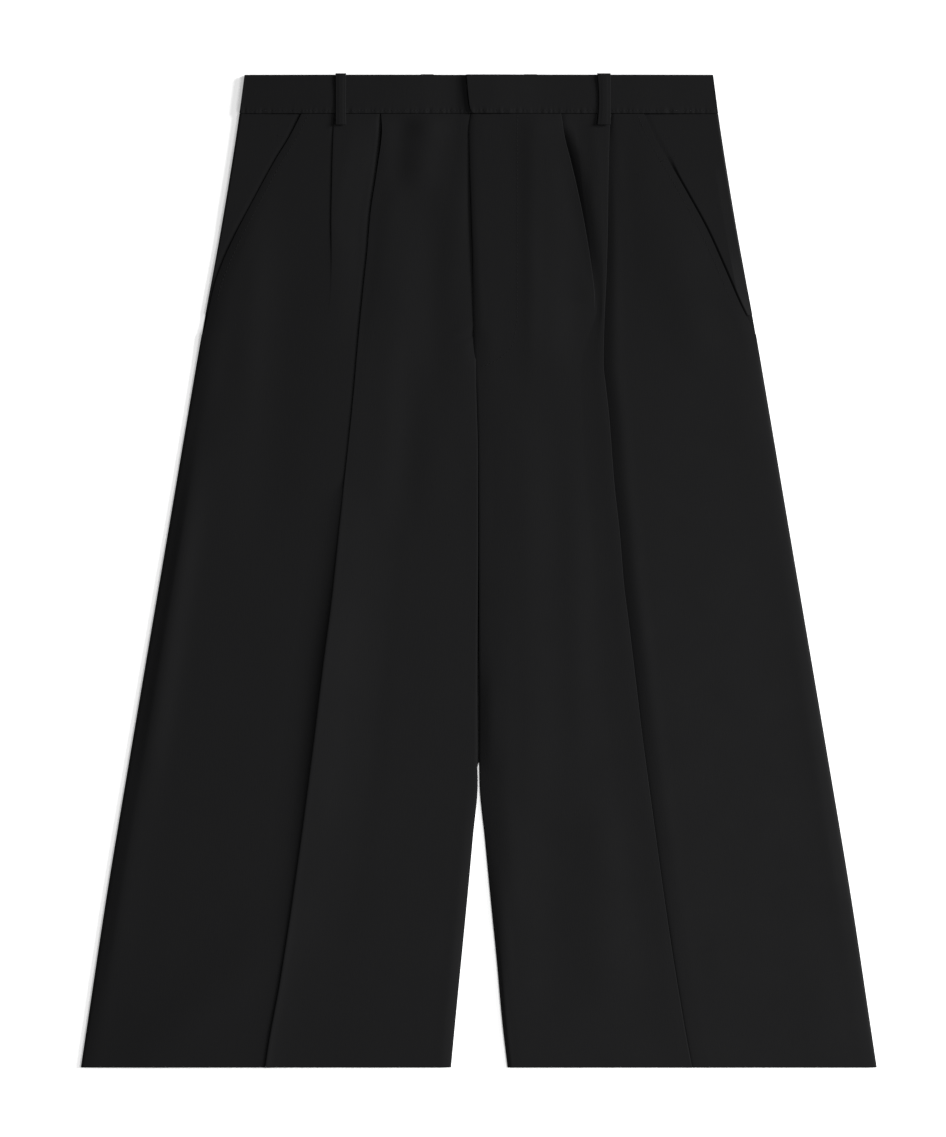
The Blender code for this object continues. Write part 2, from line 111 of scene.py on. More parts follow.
def smoothLine(points, steps):
    # a centripetal curve through the points, with so many steps on each span
    ends = [2 * np.array(points[0]) - points[1], 2 * np.array(points[-1]) - points[-2]]
    run = [ends[0]] + [np.array(p, float) for p in points] + [ends[1]]
    line = []
    for i, count in enumerate(steps):
        a, b, c, d = run[i:i + 4]
        spans = [math.sqrt(max(np.hypot(*span), 1e-6)) for span in (b - a, c - b, d - c)]
        t0, t1, t2, t3 = np.cumsum([0.0] + spans)
        for t in np.linspace(t1, t2, count, endpoint=False):
            ab = ((t1 - t) * a + (t - t0) * b) / (t1 - t0)
            bc = ((t2 - t) * b + (t - t1) * c) / (t2 - t1)
            cd = ((t3 - t) * c + (t - t2) * d) / (t3 - t2)
            abc = ((t2 - t) * ab + (t - t0) * bc) / (t2 - t0)
            bcd = ((t3 - t) * bc + (t - t1) * cd) / (t3 - t1)
            line.append(((t2 - t) * abc + (t - t1) * bcd) / (t2 - t1))
    line.append(run[-2])
    return np.array(line)


# camera, floor and light
view = {"centre": (-4.5, 1.55), "height": 3000.0, "tall": 880.6, "sensor": 36.0, "lookedAt": 4.0}
studio = {
    "floorSide": 18.0, "floorColour": (0.82, 0.82, 0.82, 1), "floorDrop": 0.0003,
    "floorRoughness": 0.9, "floorSpecular": 0.1, "floorGlow": 0.42,
    "around": 0.15, "aroundColour": (1.0, 1.0, 1.0, 1),
    "keyStrength": 6.1, "keySpread": 22, "keyFrom": (0.88, 0.2, 0.385),
    "fillPower": 8.7, "fillSize": (0.8, 0.4), "fillFrom": (0.42, -0.3, 1.1), "fillTo": (0, -0.3, 0),
}


def addObject(name, data):
    made = bpy.data.objects.new(name, data)
    bpy.context.scene.collection.objects.link(made)
    return made


def makeStudio():
    camera = addObject("camera", bpy.data.cameras.new("camera"))
    camera.location = (view["centre"][0] * mm, view["centre"][1] * mm, view["height"] * mm)
    camera.data.sensor_width = view["sensor"]
    camera.data.lens = view["sensor"] * (view["height"] - view["lookedAt"]) / view["tall"]
    camera.data.clip_start, camera.data.clip_end = 0.05, 60
    bpy.context.scene.camera = camera

    build = bmesh.new()
    bmesh.ops.create_grid(build, x_segments=2, y_segments=2, size=studio["floorSide"] / 2)
    bmesh.ops.translate(build, verts=build.verts, vec=(0, 0, -studio["floorDrop"]))
    floor = addPiece("floor", build, [])
    paint = bpy.data.materials.new("paleFloor")
    paint.use_nodes = True
    shader = paint.node_tree.nodes["Principled BSDF"]
    shader.inputs["Base Color"].default_value = studio["floorColour"]
    shader.inputs["Roughness"].default_value = studio["floorRoughness"]
    shader.inputs["Specular IOR Level"].default_value = studio["floorSpecular"]
    shader.inputs["Emission Color"].default_value = (1, 1, 1, 1)
    shader.inputs["Emission Strength"].default_value = studio["floorGlow"]
    floor.data.materials.append(paint)

    world = bpy.data.worlds.new("studioAir")
    world.use_nodes = True
    air = world.node_tree.nodes["Background"]
    air.inputs["Color"].default_value = studio["aroundColour"]
    air.inputs["Strength"].default_value = studio["around"]
    bpy.context.scene.world = world

    key = addObject("keyLight", bpy.data.lights.new("keyLight", "SUN"))
    key.data.energy = studio["keyStrength"]
    key.data.angle = math.radians(studio["keySpread"])
    key.rotation_mode = "QUATERNION"
    key.rotation_quaternion = Vector(studio["keyFrom"]).to_track_quat("Z", "Y")

    fill = addObject("fillLight", bpy.data.lights.new("fillLight", "AREA"))
    fill.data.shape = "RECTANGLE"
    fill.data.size, fill.data.size_y = studio["fillSize"]
    fill.data.energy = studio["fillPower"]
    fill.location = studio["fillFrom"]
    fill.rotation_mode = "QUATERNION"
    lean = Vector(studio["fillFrom"]) - Vector(studio["fillTo"])
    fill.rotation_quaternion = lean.to_track_quat("Z", "Y")
    fill.visible_camera = False
    bpy.context.scene.view_settings.view_transform = "Standard"
    print("studio ready")
    return floor


def addPiece(name, build, materials):
    mesh = bpy.data.meshes.new(name)
    build.to_mesh(mesh)
    build.free()
    piece = addObject(name, mesh)
    for material in materials:
        mesh.materials.append(material)
    mesh.polygons.foreach_set("use_smooth", [True] * len(mesh.polygons))
    return piece


floor = makeStudio()

# cloth and the other finishes
wool = {
    "dark": (0.0023, 0.0023, 0.0024, 1), "light": (0.0055, 0.0055, 0.0058, 1),
    "darkAt": 0.25, "lightAt": 0.95, "yarnTone": 0.35, "mottleTone": 0.3,
    "roughness": (0.62, 0.78), "specular": 0.07, "sheen": 0.012, "sheenRoughness": 0.35,
    "ribPitch": 0.75, "ribAngle": 58, "ribWander": 1.4, "ribDetail": 2, "ribDetailScale": 1.3,
    "yarnPitch": 0.42, "slubLength": 9.0, "yarnDetail": 2, "mottle": 26.0, "mottleDetail": 5,
    "ribRelief": 0.5, "bump": 0.5, "bumpDepth": 0.12,
}
thread = {
    "colour": (0.006, 0.006, 0.0063, 1), "roughness": 0.6, "specular": 0.12, "twist": 0.35,
    "bump": 0.4, "bumpDepth": 0.05,
}
waveCycle = math.pi / 10  # a wave texture's scale that makes one band in each unit


def addNodes(material, **kinds):
    material.use_nodes = True
    made = {"shader": material.node_tree.nodes["Principled BSDF"]}
    for name, kind in kinds.items():
        made[name] = material.node_tree.nodes.new("ShaderNode" + kind)
        made[name].label = name
    return made


def join(material, nodes, *links):
    for start, out, end, into in links:
        material.node_tree.links.new(nodes[start].outputs[out], nodes[end].inputs[into])


def makeWool():
    cloth = bpy.data.materials.new("blackWoolTwill")
    n = addNodes(
        cloth, grain="UVMap", turn="Mapping", rib="TexWave", warp="Mapping", warpYarn="TexNoise",
        weft="Mapping", weftYarn="TexNoise", place="TexCoord", mottle="TexNoise", yarns="Math",
        tone="Math", toneMottle="Math", colour="ValToRGB", rough="MapRange", relief="Math",
        bump="Bump",
    )
    n["grain"].uv_map = "grain"
    n["turn"].inputs["Rotation"].default_value = (0, 0, math.radians(wool["ribAngle"]))
    n["rib"].wave_type = "BANDS"
    n["rib"].bands_direction = "X"
    n["rib"].inputs["Scale"].default_value = waveCycle / (wool["ribPitch"] * mm)
    n["rib"].inputs["Distortion"].default_value = wool["ribWander"]
    n["rib"].inputs["Detail"].default_value = wool["ribDetail"]
    n["rib"].inputs["Detail Scale"].default_value = wool["ribDetailScale"]
    across, along = 1 / (wool["yarnPitch"] * mm), 1 / (wool["slubLength"] * mm)
    n["warp"].inputs["Scale"].default_value = (across, along, 1)
    n["weft"].inputs["Scale"].default_value = (along, across, 1)
    for yarn in ("warpYarn", "weftYarn"):
        n[yarn].inputs["Scale"].default_value = 1
        n[yarn].inputs["Detail"].default_value = wool["yarnDetail"]
    n["mottle"].inputs["Scale"].default_value = wool["mottle"]
    n["mottle"].inputs["Detail"].default_value = wool["mottleDetail"]
    n["yarns"].operation = "ADD"
    n["tone"].operation = "MULTIPLY_ADD"
    n["tone"].inputs[1].default_value = wool["yarnTone"]
    n["toneMottle"].operation = "MULTIPLY_ADD"
    n["toneMottle"].inputs[1].default_value = wool["mottleTone"]
    n["relief"].operation = "MULTIPLY_ADD"
    n["relief"].inputs[1].default_value = wool["ribRelief"]
    darkest, lightest = n["colour"].color_ramp.elements
    darkest.position, darkest.color = wool["darkAt"], wool["dark"]
    lightest.position, lightest.color = wool["lightAt"], wool["light"]
    n["rough"].inputs["To Min"].default_value = wool["roughness"][0]
    n["rough"].inputs["To Max"].default_value = wool["roughness"][1]
    n["bump"].inputs["Strength"].default_value = wool["bump"]
    n["bump"].inputs["Distance"].default_value = wool["bumpDepth"] * mm
    shader = n["shader"]
    shader.inputs["Specular IOR Level"].default_value = wool["specular"]
    shader.inputs["Sheen Weight"].default_value = wool["sheen"]
    shader.inputs["Sheen Roughness"].default_value = wool["sheenRoughness"]
    join(
        cloth, n,
        ("grain", "UV", "turn", "Vector"), ("turn", "Vector", "rib", "Vector"),
        ("grain", "UV", "warp", "Vector"), ("warp", "Vector", "warpYarn", "Vector"),
        ("grain", "UV", "weft", "Vector"), ("weft", "Vector", "weftYarn", "Vector"),
        ("warpYarn", "Fac", "yarns", 0), ("weftYarn", "Fac", "yarns", 1),
        ("place", "Object", "mottle", "Vector"),
        ("yarns", "Value", "tone", 0), ("tone", "Value", "toneMottle", 2),
        ("mottle", "Fac", "toneMottle", 0), ("toneMottle", "Value", "colour", "Fac"),
        ("colour", "Color", "shader", "Base Color"),
        ("mottle", "Fac", "rough", "Value"), ("rough", "Result", "shader", "Roughness"),
        ("rib", "Fac", "relief", 0), ("yarns", "Value", "relief", 2),
        ("relief", "Value", "bump", "Height"), ("bump", "Normal", "shader", "Normal"),
    )
    return cloth


def makeThread():
    yarn = bpy.data.materials.new("blackThread")
    n = addNodes(yarn, place="TexCoord", twist="TexNoise", bump="Bump")
    n["twist"].inputs["Scale"].default_value = 1 / (thread["twist"] * mm)
    n["bump"].inputs["Strength"].default_value = thread["bump"]
    n["bump"].inputs["Distance"].default_value = thread["bumpDepth"] * mm
    n["shader"].inputs["Base Color"].default_value = thread["colour"]
    n["shader"].inputs["Roughness"].default_value = thread["roughness"]
    n["shader"].inputs["Specular IOR Level"].default_value = thread["specular"]
    join(
        yarn, n,
        ("place", "Object", "twist", "Vector"), ("twist", "Fac", "bump", "Height"),
        ("bump", "Normal", "shader", "Normal"),
    )
    return yarn


clothFinish = makeWool()
threadFinish = makeThread()
print("finishes ready")

# The two fronts. An edge has its own "height", and the front's level is reached over "width" from
# there, or from "start". "rim" is how far the cloth turns down at the very edge. A pleat folds under by
# "depth", and rises to its edge over "ramp". Where it has opened out, "crest" is how high its crease
# stands and "lip" the bead on it. "trough" and "width" are the dip past the edge, and "open" is how
# far the fold gapes.
levelOfFront = {
    "down": (29, 33, 45, 70, 110, 250, 350, 600, 700, 769),
    "height": (4.9, 4.8, 4.5, 4.4, 4.4, 4.4, 4.3, 4.2, 3.9, 3.3),
}
fly = {"down": (29, 196, 232), "lap": (1, 1, 0), "height": 5.75, "width": 30.0, "ease": 50.0}
rightFront = {
    "name": "right", "sign": -1, "lapsOver": False,
    "inner": {
        "down": (29, 188, 214, 232, 300, 364, 447, 529, 547, 593, 640, 686, 733, 769),
        "edge": (-21, -21, 2.2, 2.0, 0.4, 0.4, 1.0, 1.2, 0.8, 4.7, 9.0, 13.5, 18.1, 21.5),
        "start": (-1.5, -1.5, 2.2, 2.0, 0.4, 0.4, 1.0, 1.2, 0.8, 4.7, 9.0, 13.5, 18.1, 21.5),
        "width": (8, 8, 9, 10, 10, 10, 8, 8, 8, 8, 8, 8, 8, 8),
        "height": (3.1, 3.1, 3.8, 4.2, 4.3, 4.3, 4.25, 4.2, 4.15, 4.05, 3.8, 3.5, 3.2, 2.8),
        "rim": (0, 0, 0, 0, 0, 0, 0, 0, 0.1, 0.6, 0.8, 0.8, 0.7, 0.6),
    },
    "outer": {
        "down": (29, 48.5, 65, 94, 121, 142, 163, 182, 200, 215, 240, 275, 320, 400, 500, 769),
        "pocket": (136.8, 146.9, 157.1, 173, 187.3, 197.2, 205, 209.4, 214) + (400,) * 7,
        "width": (8, 8, 8, 8, 10, 13, 15, 15, 14, 13, 15, 18, 16, 14, 13, 9),
        "round": (2,) * 9 + (1.8, 1.7) + (1.5,) * 5,
        "height": (4.7, 4.2, 4.0, 3.9, 3.6, 3.2, 3.0, 2.9, 2.7, 2.6, 2.5, 2.4, 2.4, 2.5, 2.6, 2.5),
        "rim": (0,) * 9 + (0.3, 0.8) + (0.9,) * 5,
    },
    "pleats": (
        {
            "crease": "ridge",
            "down": (29, 42, 72, 108, 138, 163, 200, 246, 276, 350, 405, 454, 526, 611, 702, 749, 769),
            "edge": (75.8, 75.0, 78.6, 84.0, 86.5, 89.2, 92.9, 96.9, 99.9, 108.1, 113.9, 120.3, 129.1,
                     140.4, 154.1, 162.8, 165.8),
            "depth": (18, 17, 15, 12, 9.5, 7.5, 5, 3, 2, 0, 0, 0, 0, 0, 0, 0, 0),
            "crest": (1, 1, 1, 1, 1, 1, 1, 1, 1.1, 1.8, 3.0, 3.6, 3.3, 2.0, 0.8, 0.5, 0.4),
            "lip": (0, 0, 0, 0, 0, 0, 0, 0, 0.1, 0.1, 0, 0, 0, 0.3, 0.8, 0.9, 0.9),
            "ramp": (30, 30, 30, 30, 30, 30, 30, 32, 36, 42, 44, 44, 44, 44, 44, 44, 44),
            "trough": (0.1, 1.5, 0.7, 0.4, 0.3, 0.3, 0.2, 0.1, 0, 0, 0, 0, 0, 0, 0, 0, 0),
            "width": (5,) * 17,
            "open": (0, 0.5, 0.1) + (0,) * 14,
        },
        {
            "crease": "edge",
            "down": (29, 38, 89, 116, 140, 162, 200, 300, 450, 600, 769),
            "edge": (111.7, 112.4, 113.9, 114.3, 114.2, 114.6, 119, 148, 178, 203, 232),
            "depth": (12, 12, 5, 0.8, 0, 0, 0, 0, 0, 0, 0),
            "crest": (1, 1, 1, 0.75, 0.4, 0.12, 0, 0, 0, 0, 0),
            "ramp": (20,) * 11,
            "trough": (0,) * 11,
            "width": (4,) * 11,
        },
    ),
    "band": {
        "out": (-19, 0, 9, 18, 45, 60, 120, 150, 181),
        "height": (3.65, 3.65, 4.15, 3.6, 4.6, 4.75, 4.65, 4.2, 3.7),
    },
    "bandEnd": {"down": (0, 29.3), "out": (-19, -19)},
    "loop": {"out": 106.8, "width": 8.2},
    "tack": ((-155.5, 47.0), (-148.5, 48.2), 1.6, 9),
    "bandStitchEnd": 12.0,
    "pressedSpan": 10,  # the span of a section that starts at the pressed crease, where the grain runs
}
leftFront = {
    "name": "left", "sign": 1, "lapsOver": True,
    "inner": {
        "down": (29, 42, 72, 95, 118, 142, 165, 188, 211, 232, 300, 364, 447, 485, 529, 547, 593,
                 640, 686, 733, 769),
        "edge": (-6.3, -7.8, -7.1, -6.3, -5.55, -4.8, -4.65, -4.3, -3.5, -2.2, -0.2, 0.1, 0.2, 0.2,
                 0.2, 0.4, 4.7, 9.2, 13.8, 18.0, 22.2),
        "width": (6, 6, 6, 6, 6, 6, 6, 8, 13, 18, 26, 28, 20, 16, 18, 25, 22, 13, 7, 4, 4),
        "height": (5.3, 5.3, 5.3, 5.3, 5.25, 5.2, 5.0, 4.8, 4.3, 3.7, 3.4, 3.3, 2.6, 1.4, 1.1,
                   1.4, 1.5, 1.9, 2.4, 2.7, 2.6),
        "rim": (0.2,) * 8 + (0.1,) * 6 + (0, 0, 0.2, 0.4, 0.8, 1.1, 1.1),
    },
    "outer": {
        "down": (29, 52, 65, 94, 121, 149, 178, 190, 200, 215, 240, 350, 500, 650, 769),
        "pocket": (127.4, 138.2, 146, 162.7, 177.3, 189.9, 202.6, 208.8, 214) + (400,) * 6,
        "width": (8, 8, 8, 8, 8, 8, 8, 9, 12, 14, 15, 13, 11, 10, 8),
        "round": (2,) * 9 + (1.8,) * 6,
        "height": (4.8, 4.5, 4.4, 4.4, 4.4, 4.35, 4.2, 3.9, 3.6, 3.3, 3.1, 3.1, 3.2, 3.1, 2.7),
        "rim": (0,) * 9 + (0.6,) + (1.5,) * 4 + (1.1,),
    },
    "pleats": (
        {
            "crease": "groove",
            "down": (29, 38, 48, 65, 87, 112, 142, 160, 172, 182, 200, 230, 300, 450, 600, 769),
            "edge": (63.4, 64.8, 66.3, 70.4, 75.7, 81.0, 86.1, 88.6, 89.6, 89.6, 84, 76, 70, 70,
                     70, 70),
            "depth": (17, 16.5, 16, 15, 13.5, 11, 7, 3.5, 0.8, 0, 0, 0, 0, 0, 0, 0),
            "crest": (1, 1, 1, 1, 1, 1, 0.9, 0.5, 0.2, 0, 0, 0, 0, 0, 0, 0),
            "ramp": (30, 30, 30, 30, 30, 30, 30, 28, 24, 20, 16, 12, 10, 10, 10, 10),
            "trough": (0.1, 0.3, 2.4, 4.0, 3.6, 2.6, 1.4, 0.5, 0.1, 0, 0, 0, 0, 0, 0, 0),
            "width": (8, 8, 9, 11, 11, 10, 9, 8, 7, 6, 6, 6, 6, 6, 6, 6),
            "open": (0, 0.1, 0.4, 0.8, 0.8, 0.6, 0.3, 0.1, 0, 0, 0, 0, 0, 0, 0, 0),
        },
        {
            "crease": "groove",
            "down": (29, 40, 83, 130, 162, 194, 223, 244, 264, 318, 355, 395, 426, 485, 504, 571,
                     645, 702, 748, 769),
            "edge": (102.6, 101.3, 100.2, 99.5, 98.4, 97.0, 96.4, 98.5, 100.7, 104.9, 109.0, 112.3,
                     116.2, 123.3, 125.5, 134.4, 144.6, 153.4, 161.2, 165.2),
            "depth": (12, 11, 6, 3, 1.5, 1.2, 1.2, 1.2, 1.2, 1.2, 1.2, 1.2, 1.2, 1.2, 1.2, 1.1,
                      0.8, 0.3, 0.1, 0),
            "crest": (1, 1, 1, 1, 0.9, 0.7, 0.6, 0.6, 0.6, 0.5, 0.5, 0.5, 0.5, 0.5, 0.5, 0.4,
                      0.3, 0.3, 0.25, 0.25),
            "ramp": (14, 14, 14, 10, 7, 13, 16, 18, 19, 20, 20, 20, 22, 24, 24, 24, 24, 24, 24, 24),
            "trough": (0.1, 0.7, 1.1, 1.7, 1.9, 2.0, 2.0, 2.0, 2.0, 2.0, 2.1, 2.3, 2.3, 2.1, 1.9,
                       1.6, 1.2, 0.8, 0.6, 0.5),
            "width": (8, 8, 8, 9, 10, 10, 10, 10, 10, 10, 10, 10, 9, 7, 7, 5, 4, 4, 4, 4),
        },
    ),
    "band": {
        "out": (-9, 10, 30, 50, 60, 120, 150, 181),
        "height": (6.3, 6.25, 5.6, 4.9, 4.8, 4.65, 4.2, 3.7),
    },
    "bandEnd": {"down": (0, 26, 29.3), "out": (-9.8, -7.0, -5.4)},
    "loop": {"out": 96.8, "width": 10.4},
    "tack": ((141.0, 67.6), (152.0, 63.3), 1.6, 12),
    "bandStitchEnd": -3.0,
    "pressedSpan": 24,
}
bothSides = (rightFront, leftFront)

# A pleat's section from the centre's side, over its edge and back under it, in parts of its depth,
# ramp and turn, at so many layers. "gape" is its part in how far the fold stands open, and "sink" in
# how far the layers sink to the front's level at the waist's seam.
pleatPoints = {
    "depth": (-1, -1, -1, -0.5, 0, 0, 0, -1, -1, -1, 0, 0),
    "ramp": (-1, -0.55, -0.1, 0, 0, 0, 0, 0, 0, 0, 0, 0),
    "turn": (0, 0, -1, -1, -2, 0, -2, 1, 0, 1, -2, 5),
    "layer": (0, 0.75, 1.9, 2, 2, 1.8, 1.1, 1, 0.5, 0, 0, 0),
    "gape": (0, 0, 0, 0.35, 0.9, 1, 0.4, 0, 0, 0, 0, 0),
    "sink": (0, 0.4, 0.95, 1, 1, 1, 1, 1, 1, 1, 1, 0.5),
}
# The same points where the fold has opened out. The first four lie at parts of the ramp before the
# crest's line, and the others at millimetres past it. That line lies "step" inside the edge. "share" is
# in parts of the crest and "lip" in parts of the bead, and "under" draws a point back as the crest
# grows. Past the edge a ridge falls away slowly, a groove at once, and an edge between the two.
creases = {
    "ridge": {
        "at": (1, 0.6, 0.3, 0.1, 0, 0.2, 0.5, 1.0, 3.4, 8.0, 14.0, 22),
        "under": (0,) * 12,
        "share": (0, 0.3, 0.68, 0.92, 1, 0.92, 0.82, 0.74, 0.5, 0.22, 0.06, 0),
        "lip": (0, 0, 0.1, 0.5, 1, 0.65, 0.25, 0.05, 0, 0, 0, 0),
        "step": 0.2,
    },
    "groove": {
        "at": (1, 0.6, 0.3, 0.1, 0, 0.05, 0.1, 0.15, 0.25, 0.5, 0.9, 1.5),
        "under": (0, 0, 0, 0, 0, 0.1, 0.45, 0.85, 0.75, 0, 0, 0),
        "share": (0, 0.5, 0.9, 1, 1, 0.8, 0.4, 0.1, 0, 0, 0, 0),
        "lip": (0,) * 12,
        "step": 0.15,
    },
    "edge": {
        "at": (1, 0.6, 0.3, 0.1, 0, 0.15, 0.35, 0.6, 1.0, 2.0, 4.0, 7.0),
        "under": (0,) * 12,
        "share": (0, 0.5, 0.9, 1, 0.95, 0.8, 0.55, 0.35, 0.2, 0.1, 0.03, 0),
        "lip": (0,) * 12,
        "step": 0.15,
    },
}
pleat = {
    "flat": 1.0,  # the depth below which a fold opens out
    "near": 5.0, "shoulder": 0.6,  # the trough's reach inside the edge, folded and opened out
    "reach": 6.0, "apart": 0.5, "sunk": 0.5, "sunkTo": 58.0,
}
frontSteps = {
    "inner": (0, 0.06, 0.15, 0.32, 0.55, 0.8),
    "between": (0.2, 0.45, 0.75),
    "outer": (0.06, 0.14, 0.28, 0.5, 0.72, 0.87, 0.95, 1),
    "edge": (0.9, 0.35, 0),
    "fine": (2, 3, 6, 8, 8, 5) + (4, 4, 3, 3, 3, 3, 3, 3, 3, 4, 4) + (3, 3, 3, 3)
            + (4, 4, 3, 3, 3, 3, 3, 3, 2, 3, 3) + (4, 5, 8, 10, 10, 7, 5, 3) + (1, 1, 1),
    "rows": ((30.2, 1.65, 12), (50, 2.4, 80), (242, 3.3, 155), (753.5, 1.55, 10)),
}
# The soft folds fade in over these distances from a front's edges and from the waistband.
freeCloth = {"fromEdge": 1.0, "over": 10.0, "fromWaist": 30.0, "overDown": 8.0}
facing = {  # it runs "under" the front and ends at its "foot"
    "under": 14.0, "top": 30.05, "foot": 186.0, "past": 2.0, "topLift": 0.3, "topFade": 12.0,
    "ease": 5.0, "clear": 3.0,
}
backLoop = {
    "out": 40.0, "width": 10.0, "bottom": 41.0, "wall": 0.7, "off": 0.08, "edge": 0.2,
    "along": (1.6, 15, 41.0), "fine": (2, 4, 2, 8, 12),
    "lift": 1.0, "fade": 12.0, "beside": 1.0, "below": 1.5,  # how the cloth rises over it
}

# Soft folds: where each starts and ends, as (x, down), its width and its lift, below 0 for a trough.
softFolds = (
    # beside the fly's stitches
    ((40.5, 30), (41, 215), 7, 0.48),
    ((54, 30), (56, 230), 16, 0.8),
    # between the fly and the pleats of the viewer's left
    ((-35, 110), (-35, 250), 13, -0.6),
    ((-53, 215), (-57, 340), 14, -0.7),
    ((-62, 140), (-70, 300), 15, 0.6),
    ((-37, 28), (-46, 84), 12, 0.95),
    ((-59, 26), (-63, 84), 9, -0.7),
    ((-74, 20), (-80, 78), 6, -0.35),
    ((-79, 60), (-93, 200), 11, -0.6),
    # past those pleats
    ((-222, 320), (-256, 540), 10, 1.4),
    ((-262, 560), (-283, 690), 12, 0.5),
    ((-172, 110), (-180, 260), 13, 0.5),
    ((-150, 135), (-166, 350), 24, -0.9),
    ((-146, 659), (-262, 764), 22, 1.0),
    # the viewer's right
    ((36, 250), (42, 560), 15, 0.5),
    ((73, 300), (78, 520), 11, 0.4),
    ((94, 565), (100, 715), 18, 0.8),
    ((52, 565), (56, 715), 18, -0.6),
    ((150, 120), (172, 220), 19, 0.8),
    ((108, 40), (114, 190), 16, -0.7),
    ((255, 420), (285, 640), 16, 0.5),
    ((215, 330), (238, 560), 22, -0.4),
    ((270, 690), (262, 755), 22, 0.5),
)
softEnd = 0.25  # a soft fold fades out over this part of its length before and after each end
unevenness = (
    {"lift": 0.3, "size": 95.0, "draw": 3.1},
    {"lift": 0.06, "size": 24.0, "draw": 8.7},
)


def sideEdge(down):
    return read(sideOutline, "out", down)


def backLoopLift(out):
    clear = abs(abs(out) - backLoop["out"]) - backLoop["width"] / 2 - backLoop["beside"]
    return backLoop["lift"] * (1 - ease(clear / backLoop["fade"]))


def backHeight(out, down):
    fade = 1 - ease((down - backLoop["bottom"] - backLoop["below"]) / backLoop["fade"])
    return shorts["backHeight"] + backLoopLift(out) * fade


def frontOuterEdge(side, down):
    return min(read(side["outer"], "pocket", down), sideEdge(down))


def facingHeight(down):
    top = math.exp(-(down - shorts["bandDepth"]) / facing["topFade"])
    return shorts["low"] + facing["topLift"] * top


def underFront(side, out, down):
    # the lowest that a front may lie: on the back, or on the facing of its pocket
    lowest = backHeight(out, down) + shorts["clear"]
    if down > facing["foot"] + facing["past"]:
        return lowest
    inner = read(side["outer"], "pocket", down) - facing["under"]
    over = ease((out - inner + facing["clear"] + facing["ease"]) / facing["ease"])
    return lowest + max(facingHeight(down) + shorts["clear"] - lowest, 0) * over


def frontHeight(side, out, down):
    level = read(levelOfFront, "height", down) + 0.5 * (backHeight(out, down) - shorts["backHeight"])
    if side["lapsOver"]:
        fade = 1 - ease((out - fly["width"]) / fly["ease"])
        level += (fly["height"] - level) * read(fly, "lap", down) * fade
    inner, outer = side["inner"], side["outer"]
    low = read(inner, "height", down)
    start = read(inner, "start" if "start" in inner else "edge", down)
    rise = roll((out - start) / read(inner, "width", down))
    height = low + (level - low) * rise
    fromEdge = max(frontOuterEdge(side, down) - out, 0)
    fall = max(1 - fromEdge / read(outer, "width", down), 0) ** read(outer, "round", down)
    height += (read(outer, "height", down) - level) * fall
    height -= read(outer, "rim", down) * rimAt(fromEdge)
    height -= read(inner, "rim", down) * rimAt(out - read(inner, "edge", down))
    return height - sum(troughPast(fold, out, down) for fold in side["pleats"])


def rimAt(fromEdge):
    # the narrow turn of the cloth at its edge
    return max(1 - max(fromEdge, 0) / shorts["rim"], 0) ** 2


def troughPast(fold, out, down):
    # the dip past a pleat's edge: deepest at the edge, rising more and more gently from there
    off = out - read(fold, "edge", down)
    if off <= 0:
        return 0
    return read(fold, "trough", down) * max(1 - off / read(fold, "width", down), 0) ** 2


def sinkAt(down):
    start = shorts["bandDepth"]
    return 1 - ease((down - start) / (pleat["sunkTo"] - start))


def pleatSection(side, fold, down, clearOf):
    edge, depth, crest, lip, ramp, gape, trough = (
        read(fold, name, down) if name in fold else 0
        for name in ("edge", "depth", "crest", "lip", "ramp", "open", "trough")
    )
    ramp = min(ramp, edge - depth - clearOf)
    turn = shorts["layer"] / 2
    folded = ease(depth / pleat["flat"])
    crease = creases[fold["crease"]]
    near = pleat["shoulder"] + folded * (pleat["near"] - pleat["shoulder"])
    points = []
    for i, layer in enumerate(pleatPoints["layer"]):
        over = depth * pleatPoints["depth"][i] + ramp * pleatPoints["ramp"][i]
        over += turn * pleatPoints["turn"][i]
        soft = crease["at"][i] - crease["step"] - crest * crease["under"][i]
        if i < 4:
            soft = -crease["step"] - (ramp - crease["step"]) * crease["at"][i]
        out = edge + folded * over + (1 - folded) * soft
        lift = folded * shorts["layer"] * layer
        lift += (1 - folded) * (crest * crease["share"][i] + lip * crease["lip"][i])
        lift += gape * pleatPoints["gape"][i]
        dip = pleat["sunk"] * folded * pleatPoints["sink"][i] * sinkAt(down)
        if out <= edge and i > 5:  # the trough also dips the cloth under the fold
            dip += trough * math.exp(-(((out - edge) / near) ** 2)) * (1 - folded * layer / 2)
        base = max(frontHeight(side, out, down) - dip, underFront(side, out, down))
        points.append((out, base + lift))
    return points


def frontSection(side, down):
    inner = read(side["inner"], "edge", down) + shorts["slack"]
    outer = frontOuterEdge(side, down)
    first, second = side["pleats"]
    folds = [pleatSection(side, first, down, inner + pleat["reach"])]
    folds.append(pleatSection(side, second, down, folds[0][-1][0] + pleat["apart"]))
    start, end, last = folds[0][-1][0], folds[1][0][0], folds[1][-1][0]
    plain = [
        [inner + step * (folds[0][0][0] - inner) for step in frontSteps["inner"]],
        [start + step * (end - start) for step in frontSteps["between"]],
        [last + step * (outer - shorts["rim"] - last) for step in frontSteps["outer"]]
        + [outer - step for step in frontSteps["edge"]],
    ]
    plain = [
        [(out, max(frontHeight(side, out, down), underFront(side, out, down))) for out in outs]
        for outs in plain
    ]
    return plain[0] + folds[0] + plain[1] + folds[1] + plain[2]


